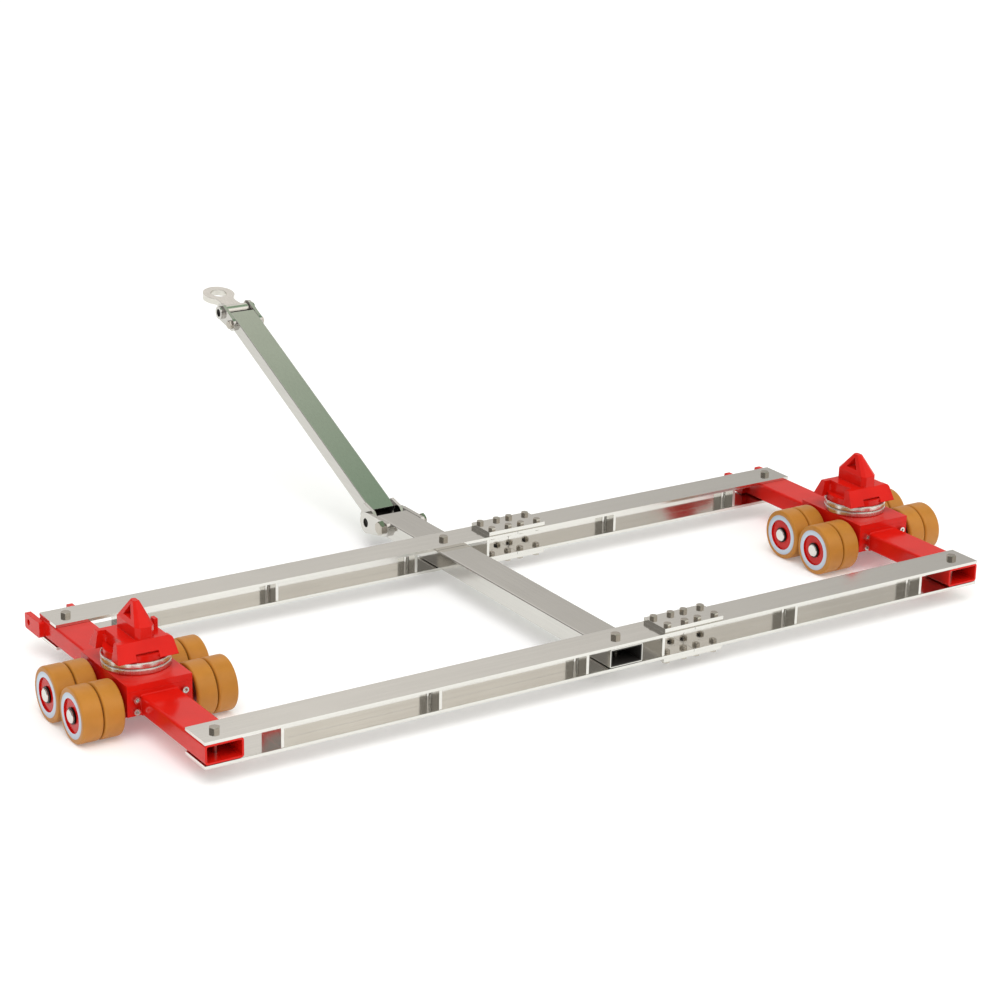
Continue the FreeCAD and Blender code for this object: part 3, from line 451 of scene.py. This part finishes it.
@dataclass
class HexFastener:
    """Hexagon bolt with a chamfered head, and its nut."""

    flats: float
    head: float
    shank: float
    grip: float
    nut: float
    segments: int = 48
    chamfer_deg: float = 25.0
    face_share: float = 0.47
    cap_share: float = 0.5
    tip_share: float = 0.42
    tip_length: float = 0.18

    def rim(self) -> tuple[np.ndarray, float, np.ndarray]:
        """Chamfered end of a hexagon, whose radius is half the flats over the cosine of the angle off a flat.

        The chamfer's fall is the radius past its inner circle times the tangent of its angle.

        Returns:
            The hexagon's radius at each angle, the chamfer's inner radius and its fall at each angle.
        """
        turn = np.linspace(0, 2 * np.pi, self.segments, endpoint=False)
        side = self.flats / 2 / np.cos(np.mod(turn, np.pi / 3) - np.pi / 6)
        face = self.face_share * self.flats
        return side, face, (side - face) * math.tan(math.radians(self.chamfer_deg))

    def grid(self, profile: list[tuple[Level, Level]]) -> np.ndarray:
        """Rings of points about Z from pairs of radius and height, each a number or a value per angle.

        Args:
            profile: Radius and height of each ring.

        Returns:
            Array of rings times segments by 3.
        """
        turn = np.linspace(0, 2 * np.pi, self.segments, endpoint=False)
        radius = np.stack([np.broadcast_to(r, turn.shape) for r, _ in profile])
        height = np.stack([np.broadcast_to(z, turn.shape) for _, z in profile])
        return np.stack([radius * np.cos(turn), radius * np.sin(turn), height], axis=-1).reshape(-1, 3)

    def bolt(self) -> tuple[np.ndarray, int]:
        """Bolt with its head's seat at z = 0 and its head above, as rings from the head to the tip.

        Returns:
            The points and the number of rings.
        """
        side, face, fall = self.rim()
        shank = self.shank / 2
        tail = -self.grip - self.nut
        profile = [(self.cap_share * face, self.head), (face, self.head), (side, self.head - fall),
                   (side, 0.0), (shank, 0.0), (shank, tail),
                   (self.tip_share * self.shank, tail - self.tip_length * self.shank)]
        return self.grid(profile), len(profile)

    def nut_ring(self) -> tuple[np.ndarray, int]:
        """Nut under the grip, chamfered at both ends, as a closed loop of rings.

        Returns:
            The points and the number of rings.
        """
        side, face, fall = self.rim()
        shank = self.shank / 2
        top = -self.grip
        low = top - self.nut
        profile = [(shank, top), (face, top), (side, top - fall), (side, low + fall), (face, low),
                   (shank, low)]
        return self.grid(profile), len(profile)

    def place(self, name: str, seats: list[tuple[Vector, Vector]], spin: Vector) -> bpy.types.Object:
        """Copy the bolt and nut to each seat.

        Args:
            name: Name of the piece.
            seats: Middle of each head's seat and the direction out of it.
            spin: Direction that a corner of the hexagon points to.

        Returns:
            One object with all the bolts and nuts.
        """
        bolt, bolt_rings = self.bolt()
        nut, nut_rings = self.nut_ring()
        faces = ring_faces(bolt_rings, self.segments, False)
        faces += [tuple(i + len(bolt) for i in f) for f in ring_faces(nut_rings, self.segments, True)]
        points = np.concatenate([bolt, nut])
        copies = []
        for seat, out in seats:
            across = out.cross(spin).normalized()
            basis = np.array([spin.normalized(), across, out.normalized()])
            copies.append(points @ basis + np.array(seat))
        return piece(name, np.stack(copies), faces, False)


def bead(name: str, path: np.ndarray, radius: float, pitch: float, swell: float = 0.16,
         sides: int = 10) -> bpy.types.Object:
    """Weld bead: a round profile carried along a closed path, swelling once per pitch like laid drops.

    Args:
        name: Name of the piece.
        path: Points along the seam, in metres.
        radius: Mean radius of the bead.
        pitch: Distance from drop to drop.
        swell: Share of the radius that comes and goes.
        sides: Points round the profile.

    Returns:
        The bead as an object.
    """
    ahead = np.roll(path, -1, axis=0) - np.roll(path, 1, axis=0)
    ahead /= np.linalg.norm(ahead, axis=1)[:, None]
    run = np.concatenate([[0.0], np.cumsum(np.linalg.norm(np.diff(path, axis=0), axis=1))])
    helper = np.where(np.abs(ahead[:, 2:3]) > 0.9, [[1.0, 0.0, 0.0]], [[0.0, 0.0, 1.0]])
    first = np.cross(ahead, helper)
    first /= np.linalg.norm(first, axis=1)[:, None]
    second = np.cross(ahead, first)
    turn = np.linspace(0, 2 * np.pi, sides, endpoint=False)
    size = radius * (1 + swell * np.sin(2 * np.pi * run / pitch))
    ring = (first[:, None] * np.cos(turn)[None, :, None] + second[:, None] * np.sin(turn)[None, :, None])
    points = path[:, None] + ring * size[:, None, None]
    return piece(name, points.reshape(1, -1, 3), ring_faces(len(path), sides, True), True)


def rounded_loop(width: float, height: float, corner: float, step: float) -> np.ndarray:
    """Points evenly spaced round a rectangle with round corners: quarter circles joined by the sides.

    Args:
        width: Outer width.
        height: Outer height.
        corner: Corner radius.
        step: Distance between points.

    Returns:
        Array of points by 2, about the middle.
    """
    middles = np.array([[1, 1], [-1, 1], [-1, -1], [1, -1]]) * [width / 2 - corner, height / 2 - corner]
    turn = QUARTER[None, :] + np.arange(4)[:, None] * np.pi / 2
    arcs = middles[:, None] + corner * np.stack([np.cos(turn), np.sin(turn)], axis=-1)
    outline = np.concatenate([arcs.reshape(-1, 2), arcs[0, :1]])
    run = np.concatenate([[0.0], np.cumsum(np.linalg.norm(np.diff(outline, axis=0), axis=1))])
    even = np.linspace(0, run[-1], int(run[-1] / step), endpoint=False)
    return np.stack([np.interp(even, run, outline[:, 0]), np.interp(even, run, outline[:, 1])], axis=1)


def joint_place(name: str) -> Vector:
    """Place of a joint at rest, in metres."""
    return Vector(next(j for j in frame["joints"] if j["name"] == name)["pos_m"])


def stand_for(obj: bpy.types.Object, node: str, body: str, material: bpy.types.Material) -> None:
    """Give detailed bolts their finish and let them stand for the plain ones.

    Args:
        obj: Detailed bolts.
        node: Plain solid that they replace.
        body: Body that they move with.
        material: Finish to show.
    """
    obj.data.materials.append(material)
    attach(obj, body)
    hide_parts(node)
    LOG.info("%s: detailed bolts", obj.name)


@dataclass
class Finishes:
    """The finishes that several sub-assemblies share."""

    beam: bpy.types.Material
    bolts: bpy.types.Material
    screws: bpy.types.Material
    pins: bpy.types.Material
    black: bpy.types.Material
    eye: bpy.types.Material
    red: bpy.types.Material
    tread: bpy.types.Material
    bronze: bpy.types.Material
    ring: bpy.types.Material

    @classmethod
    def mix(cls) -> "Finishes":
        """Make every shared finish once.

        Returns:
            The set of finishes.
        """
        return cls(
            beam=DrawnSteel("polished_steel_along_x", "E2E0DB", "DBD9D4", roughness=0.11).make(),
            bolts=DrawnSteel("plated_bolt_steel", "BDB7AD", "AFA99F", roughness=0.10, grain=Axis.Z,
                             line_mm=3.0, run_mm=30.0, edge_mm=0.5).make(),
            screws=DrawnSteel("bright_screw_steel", "E2E0DB", "D2D0CB", roughness=0.14, grain=Axis.Y,
                              line_mm=2.0, run_mm=20.0, edge_mm=0.4).make(),
            pins=DrawnSteel("ground_axle_steel", "D9D7D2", "CFCDC8", roughness=0.16, line_mm=3.0,
                            run_mm=60.0, edge_mm=0.8).make(),
            # dark steel: painted shade on the recessed pin ends, and the dark axle rings
            black=DrawnSteel("blackened_steel", "2B2A29", "201F1E", roughness=0.35, line_mm=3.0,
                             run_mm=40.0, edge_mm=0.5).make(),
            eye=DrawnSteel("forged_eye_steel", "D8D5CE", "CFCCC5", roughness=0.20, grain=Axis.Y,
                           line_mm=6.0, run_mm=40.0, edge_mm=1.5).make(),
            red=RedEnamel().make(),
            tread=CastPolyurethane().make(),
            bronze=DrawnSteel("turned_bronze", "B08D57", "9C7A48", roughness=0.30, line_mm=3.0,
                              run_mm=30.0, edge_mm=0.5).make(),
            ring=DrawnSteel("polished_ring_steel", "E2DFD8", "D8D5CE", roughness=0.24, grain=Axis.Z,
                            line_mm=4.0, run_mm=60.0, edge_mm=6.0).make(),
        )


@dataclass
class LongBeam:
    """One spliced I-beam with its plates, stiffener welds, splice bolts and pivot bolts."""

    row: Row
    finishes: Finishes
    row_spacing: float = 60.0 * MM
    inner_pitch: float = 41.0 * MM
    outer_pitch: float = 149.0 * MM
    plate: float = 12.0 * MM
    flange: float = 8.0 * MM
    web: float = 6.0 * MM
    stiffener: float = 8.0 * MM
    stations: tuple[float, float, float] = (117.0 * MM, 547.5 * MM, 978.0 * MM)
    weld: float = 8.0 * MM
    sunk: float = 0.5 * MM

    def build(self) -> None:
        """Dress the beam, weld its stiffeners and replace its plain bolts by detailed ones."""
        name = self.row.value
        for node in (name + "_beam_left", name + "_beam_right", name + "_splice_plates"):
            dress(node, self.finishes.beam)
        self.welds(name)
        self.splice_bolts(name)
        self.pivot_bolts(name)

    def welds(self, name: str) -> None:
        """Lay a hollow fillet weld in each upright corner between the web and a stiffener.

        Its section is a square corner less a quarter circle, carried straight from flange to flange.

        Args:
            name: Row of the beam.
        """
        low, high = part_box(name + "_beam_left")
        inset = np.append(self.weld * (1 - np.cos(QUARTER)), -self.sunk)
        out = np.append(self.weld * (1 - np.sin(QUARTER)), -self.sunk) + self.web / 2
        ends = np.array([low.z + self.flange, high.z - self.flange])[:, None]
        copies = []
        for first, last in zip(self.stations, self.stations[1:]):
            half = (last - first - self.stiffener) / 2
            for side, end, face in itertools.product((-1, 1), repeat=3):
                x = side * (first + last) / 2 + end * (half - inset)
                y = (low.y + high.y) / 2 + face * out
                copies.append(np.stack(np.broadcast_arrays(x, y, ends), axis=-1).reshape(-1, 3))
        obj = piece(name + "_stiffener_welds", np.stack(copies), ring_faces(2, len(inset), False), False)
        obj.data.materials.append(self.finishes.beam)
        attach(obj, name + "_beam")
        LOG.info("%s: weld fillets", obj.name)

    def splice_bolts(self, name: str) -> None:
        """Bolt both splice plates through the flanges.

        Args:
            name: Row of the beam.
        """
        low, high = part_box(name + "_splice_plates")
        middle = (low + high) / 2
        offsets = np.array([-self.outer_pitch, -self.inner_pitch, self.inner_pitch, self.outer_pitch]) / 2
        seats = []
        for dx in offsets:
            for dy in (-self.row_spacing / 2, self.row_spacing / 2):
                seats.append((Vector((middle.x + dx, middle.y + dy, high.z)), Vector((0, 0, 1))))
                seats.append((Vector((middle.x + dx, middle.y + dy, low.z)), Vector((0, 0, -1))))
        bolts = HexFastener(flats=19 * MM, head=8 * MM, shank=12 * MM, grip=self.plate + self.flange,
                            nut=6 * MM)
        obj = bolts.place(name + "_splice_bolts_shown", seats, Vector((1, 0, 0)))
        stand_for(obj, name + "_splice_bolts", name + "_beam", self.finishes.bolts)

    def pivot_bolts(self, name: str) -> None:
        """Put the three pivot bolts through the beam.

        Args:
            name: Row of the beam.
        """
        low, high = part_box(name + "_beam_left")
        reach = joint_place("right_bogie_steer").x
        seats = [(Vector((x, (low.y + high.y) / 2, high.z)), Vector((0, 0, 1))) for x in (-reach, 0.0, reach)]
        bolts = HexFastener(flats=24 * MM, head=10 * MM, shank=16 * MM, grip=high.z - low.z, nut=13 * MM)
        obj = bolts.place(name + "_pivot_bolts_shown", seats, Vector((1, 0, 0)))
        stand_for(obj, name + "_pivot_bolts", name + "_beam", self.finishes.bolts)


@dataclass
class Drawbar:
    """Middle crossbeam, hinge cheeks, drawbar and towing eye."""

    finishes: Finishes
    pitch_deg: float = 24.0
    cross_wall: float = 6.0 * MM
    bar_half_width: float = 40.0 * MM
    bar_half_depth: float = 20.0 * MM
    bar_wall: float = 4.0 * MM
    bar_rise: float = 6.0 * MM
    cheek_bolt_seat: float = 62.0 * MM
    eye_bolt_seat: float = 50.0 * MM

    def build(self) -> None:
        """Dress the solids and put in the two through bolts."""
        low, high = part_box("middle_crossbeam")
        size = (high - low) / 2
        # the crossbeam's inside is painted dark as shade
        inside = Bore((low + high) / 2, 0.0, size.x - self.cross_wall / 2, size.z - self.cross_wall / 2)
        cross = DrawnSteel("polished_steel_along_y", "CFCDC8", "C8C6C1", roughness=0.11, grain=Axis.Y,
                           bore=inside).make()
        for node in ("middle_crossbeam", "crossbeam_cheeks"):
            dress(node, cross)
        bar = self.bar_finish()
        for node in ("drawbar", "eye_cheeks"):
            dress(node, bar)
        # the recessed pin ends are drawn dark as painted shade in their holes
        for node in ("drawbar_hinge_pin", "eye_pin"):
            dress(node, self.finishes.black)
        dress("towing_eye", self.finishes.eye)
        self.cheek_bolt()
        self.eye_bolt()

    def up(self) -> Vector:
        """Direction square to the tilted bar, out of its top."""
        pitch = math.radians(self.pitch_deg)
        return Vector((0, -math.sin(pitch), math.cos(pitch)))

    def bar_finish(self) -> bpy.types.Material:
        """Polished steel with a dull inside along the tilted tube, painted dark as shade."""
        inside = Bore(joint_place("drawbar_pitch") + self.up() * self.bar_rise, self.pitch_deg,
                      self.bar_half_width - self.bar_wall / 2, self.bar_half_depth - self.bar_wall / 2)
        return DrawnSteel("polished_drawbar_steel", "C6C4BF", "BFBDB8", roughness=0.10, grain=Axis.Y,
                          bore=inside).make()

    def cheek_bolt(self) -> None:
        """Through bolt of the hinge cheeks."""
        bolt = HexFastener(flats=36 * MM, head=15 * MM, shank=24 * MM, grip=2 * self.cheek_bolt_seat,
                           nut=12 * MM)
        self.through(bolt, "cheek_bolt", self.cheek_bolt_seat, Vector((0, 0, 1)), "middle_crossbeam")

    def eye_bolt(self) -> None:
        """Through bolt of the eye cheeks, square to the drawbar."""
        bolt = HexFastener(flats=24 * MM, head=10 * MM, shank=16 * MM, grip=2 * self.eye_bolt_seat,
                           nut=8 * MM)
        self.through(bolt, "eye_cheek_bolt", self.eye_bolt_seat, self.up(), "drawbar")

    def through(self, bolt: HexFastener, node: str, seat: float, spin: Vector, body: str) -> None:
        """Put a bolt across a pair of cheeks, with its head on the left.

        Args:
            bolt: Bolt to place.
            node: Plain solid that it replaces.
            seat: Distance of the head's seat from the middle.
            spin: Direction that a corner of the hexagon points to.
            body: Body that it moves with.
        """
        low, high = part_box(node)
        middle = (low + high) / 2
        seats = [(Vector((-seat, middle.y, middle.z)), Vector((-1, 0, 0)))]
        stand_for(bolt.place(node + "_shown", seats, spin), node, body, self.finishes.bolts)


@dataclass
class Bogie:
    """Roller bogie with its arms, axles, rollers, turntable and head."""

    side: Side
    finishes: Finishes
    tube_width: float = 100.0 * MM
    tube_height: float = 50.0 * MM
    tube_corner: float = 7.0 * MM
    tube_middle: float = 84.5 * MM
    weld: float = 3.0 * MM
    weld_pitch: float = 6.0 * MM
    weld_step: float = 2.0 * MM

    def build(self) -> None:
        """Dress every solid of the bogie and lay the arm welds."""
        name = self.side.value
        for node in ("near_arm", "far_arm", "block", "head"):
            dress(name + "_" + node, self.finishes.red)
        for node in ("axles", "kingpin"):
            dress(name + "_" + node, self.finishes.pins)
        dress(name + "_axle_rings", self.finishes.black)
        for node in ("lower_ring", "upper_ring", "turntable_balls"):
            dress(name + "_" + node, self.finishes.ring)
        dress(name + "_arm_screws", self.finishes.screws)
        dress(name + "_axle_bushes", self.finishes.bronze)
        self.rollers(name)
        self.welds(name)

    def rollers(self, name: str) -> None:
        """Dress the four twin rollers.

        Args:
            name: Side of the bogie.
        """
        for row in Row:
            place = joint_place(name + "_" + row.value + "_left_roller_spin")
            core = RollerCoreFinish(name + "_" + row.value + "_roller_core", place.y, place.z).make()
            for end in ("left", "right"):
                roller = name + "_" + row.value + "_" + end + "_roller"
                dress(roller + "_core", core)
                dress(roller + "_tyres", self.finishes.tread)

    def welds(self, name: str) -> None:
        """Lay a bead round each arm tube where it meets its end plate.

        Args:
            name: Side of the bogie.
        """
        x = joint_place(name + "_bogie_steer").x
        low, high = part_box(name + "_block")
        loop = rounded_loop(self.tube_width, self.tube_height, self.tube_corner, self.weld_step)
        for row, y in ((Row.NEAR, low.y), (Row.FAR, high.y)):
            path = np.stack([loop[:, 0] + x, np.full(len(loop), y), loop[:, 1] + self.tube_middle], axis=1)
            obj = bead(name + "_" + row.value + "_arm_weld", path, self.weld, self.weld_pitch)
            obj.data.materials.append(self.finishes.red)
            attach(obj, name + "_bogie")
            LOG.info("%s: weld bead", obj.name)


@dataclass(frozen=True)
class SoftBox:
    """Square lamp: its name, where it hangs, its power and its edge."""

    name: str
    place: Triple
    watts: float
    edge: float = 4.0


@dataclass
class Studio:
    """Pale floor, soft light and the camera at the picture's viewing angle."""

    azimuth: float = 33.567
    elevation: float = 19.321
    roll: float = 1.35
    lens: float = 95.008
    sensor: float = 36.0
    clip_end: float = 1000.0
    eye: Triple = (-3.65368, -6.04100, 2.6342)
    floor_half: float = 400.0
    floor_grey: float = 0.86
    floor_glow: float = 0.2
    # tones from the horizon up, then from left to right, then from the card's rim to its middle
    sky: tuple[Stop, ...] = ((0.0, (0.58, 0.57, 0.55, 1.0)), (0.32, (0.63, 0.61, 0.58, 1.0)),
                             (0.41, (0.83, 0.80, 0.76, 1.0)), (0.55, (1.0, 0.96, 0.93, 1.0)),
                             (1.0, grey(1.12)))
    sides: tuple[Stop, ...] = ((0.275, grey(0.38)), (0.525, grey(1.0)), (0.74, grey(1.0)), (0.82, grey(0.78)))
    card_tones: tuple[Stop, ...] = ((0.915, (0.83, 0.88, 0.76, 1.0)), (0.96, (0.29, 0.43, 0.30, 1.0)))
    card: Triple = (0.522, 0.0, 0.853)
    boxes: tuple[SoftBox, ...] = (SoftBox("key", (-3.5, -4.5, 5.0), 90.0),
                                  SoftBox("fill", (4.5, -3.5, 4.0), 30.0))
    target: Triple = (0.0, 0.0, 0.1)
    sun_path: Triple = (0.3, 0.3, -1.0)
    sun_strength: float = 1.0
    sun_width_deg: float = 50.0

    def build(self) -> None:
        """Set up the whole studio."""
        self.floor()
        self.world()
        self.lights()
        self.camera()

    def floor(self) -> None:
        """Wide matt floor, lit a little from below like a light table."""
        half = self.floor_half
        corners = np.array([[[-half, -half, 0], [half, -half, 0], [half, half, 0], [-half, half, 0]]])
        obj = piece("floor", corners, [(0, 1, 2, 3)], False)
        material, tree, surface = blank("pale_floor")
        shader = add(tree, "ShaderNodeBsdfPrincipled", Base_Color=grey(self.floor_grey), Roughness=0.9,
                     Specular_IOR_Level=0.0, Emission_Color=grey(1.0), Emission_Strength=self.floor_glow)
        tree.links.new(shader.outputs["BSDF"], surface)
        obj.data.materials.append(material)

    def world(self) -> None:
        """Soft surround: bright overhead and in front, dark sides, a green card and a white horizon."""
        world = bpy.data.worlds.new("studio")
        bpy.context.scene.world = world
        world.use_nodes = True
        tree = world.node_tree
        tree.nodes.clear()
        place = add(tree, "ShaderNodeTexCoord").outputs["Generated"]
        split = add(tree, "ShaderNodeSeparateXYZ", Vector=place)
        tone = add(tree, "ShaderNodeValToRGB", stops=self.sky, Fac=split.outputs["Z"]).outputs["Color"]
        front = add(tree, "ShaderNodeMapRange", Value=split.outputs["Y"], From_Min=-0.7, From_Max=0.3,
                    To_Min=1.33, To_Max=1.0)
        across = add(tree, "ShaderNodeMapRange", Value=split.outputs["X"], From_Min=-1.0, From_Max=1.0)
        sides = add(tree, "ShaderNodeValToRGB", stops=self.sides,
                    Fac=across.outputs["Result"]).outputs["Color"]
        level = add(tree, "ShaderNodeMath", {"operation": "MULTIPLY"}, s0=front.outputs["Result"], s1=sides)
        shaded = add(tree, "ShaderNodeMix", {"data_type": "RGBA", "blend_type": "MULTIPLY"}, s0=1.0, s6=tone,
                     s7=level.outputs[0])
        toward = add(tree, "ShaderNodeVectorMath", {"operation": "DOT_PRODUCT"}, s0=place,
                     s1=Vector(self.card)).outputs["Value"]
        green = add(tree, "ShaderNodeValToRGB", stops=self.card_tones, Fac=toward).outputs["Color"]
        near = add(tree, "ShaderNodeMapRange", Value=toward, From_Min=0.86, From_Max=0.92)
        both = add(tree, "ShaderNodeMix", {"data_type": "RGBA"}, s0=near.outputs["Result"],
                   s6=shaded.outputs[2], s7=green)
        low = add(tree, "ShaderNodeMapRange", Value=split.outputs["Z"], From_Min=0.06, From_Max=0.14,
                  To_Min=1.0, To_Max=0.0)
        white = add(tree, "ShaderNodeMix", {"data_type": "RGBA"}, s0=low.outputs["Result"],
                    s6=both.outputs[2], s7=grey(1.0))
        back = add(tree, "ShaderNodeBackground", Color=white.outputs[2], Strength=1.0)
        out = add(tree, "ShaderNodeOutputWorld")
        tree.links.new(back.outputs["Background"], out.inputs["Surface"])

    def lights(self) -> None:
        """Large soft boxes and a wide sun."""
        for box in self.boxes:
            data = bpy.data.lights.new(box.name, "AREA")
            data.shape = "SQUARE"
            data.size = box.edge
            data.energy = box.watts
            self.hang(data, Vector(box.place), Vector(self.target) - Vector(box.place))
        sun = bpy.data.lights.new("sun", "SUN")
        sun.energy = self.sun_strength
        sun.angle = math.radians(self.sun_width_deg)
        self.hang(sun, Vector(), Vector(self.sun_path))

    def hang(self, data: bpy.types.Light, place: Vector, path: Vector) -> None:
        """Put a lamp in the scene that lights without being mirrored in the polished steel.

        Args:
            data: Lamp.
            place: Where it hangs, in metres.
            path: Direction in which it shines.
        """
        obj = bpy.data.objects.new(data.name, data)
        obj.visible_glossy = False
        obj.matrix_world = Matrix.Translation(place) @ path.to_track_quat("-Z", "Y").to_matrix().to_4x4()
        bpy.context.scene.collection.objects.link(obj)

    def camera(self) -> None:
        """Camera solved from the picture: a long lens, looking down over the near left corner."""
        azimuth, elevation, roll = (math.radians(v) for v in (self.azimuth, self.elevation, self.roll))
        ahead = Vector((math.sin(azimuth) * math.cos(elevation), math.cos(azimuth) * math.cos(elevation),
                        -math.sin(elevation)))
        right = Vector((math.cos(azimuth), -math.sin(azimuth), 0))
        up = right.cross(ahead)
        rolled = right * math.cos(roll) + up * math.sin(roll)
        upright = up * math.cos(roll) - right * math.sin(roll)
        data = bpy.data.cameras.new("camera")
        data.lens = self.lens
        data.sensor_width = self.sensor
        data.clip_end = self.clip_end
        obj = bpy.data.objects.new("camera", data)
        turn = Matrix((rolled, upright, -ahead)).transposed().to_4x4()
        obj.matrix_world = Matrix.Translation(Vector(self.eye)) @ turn
        bpy.context.scene.collection.objects.link(obj)
        bpy.context.scene.camera = obj


def main() -> None:
    """Build the studio and each sub-assembly."""
    logging.basicConfig(level=logging.INFO, format="%(message)s")
    bpy.context.scene.view_settings.view_transform = "Standard"
    finishes = Finishes.mix()
    Studio().build()
    for row in Row:
        LongBeam(row, finishes).build()
    Drawbar(finishes).build()
    for side in Side:
        Bogie(side, finishes).build()


if __name__ == "__main__":
    main()
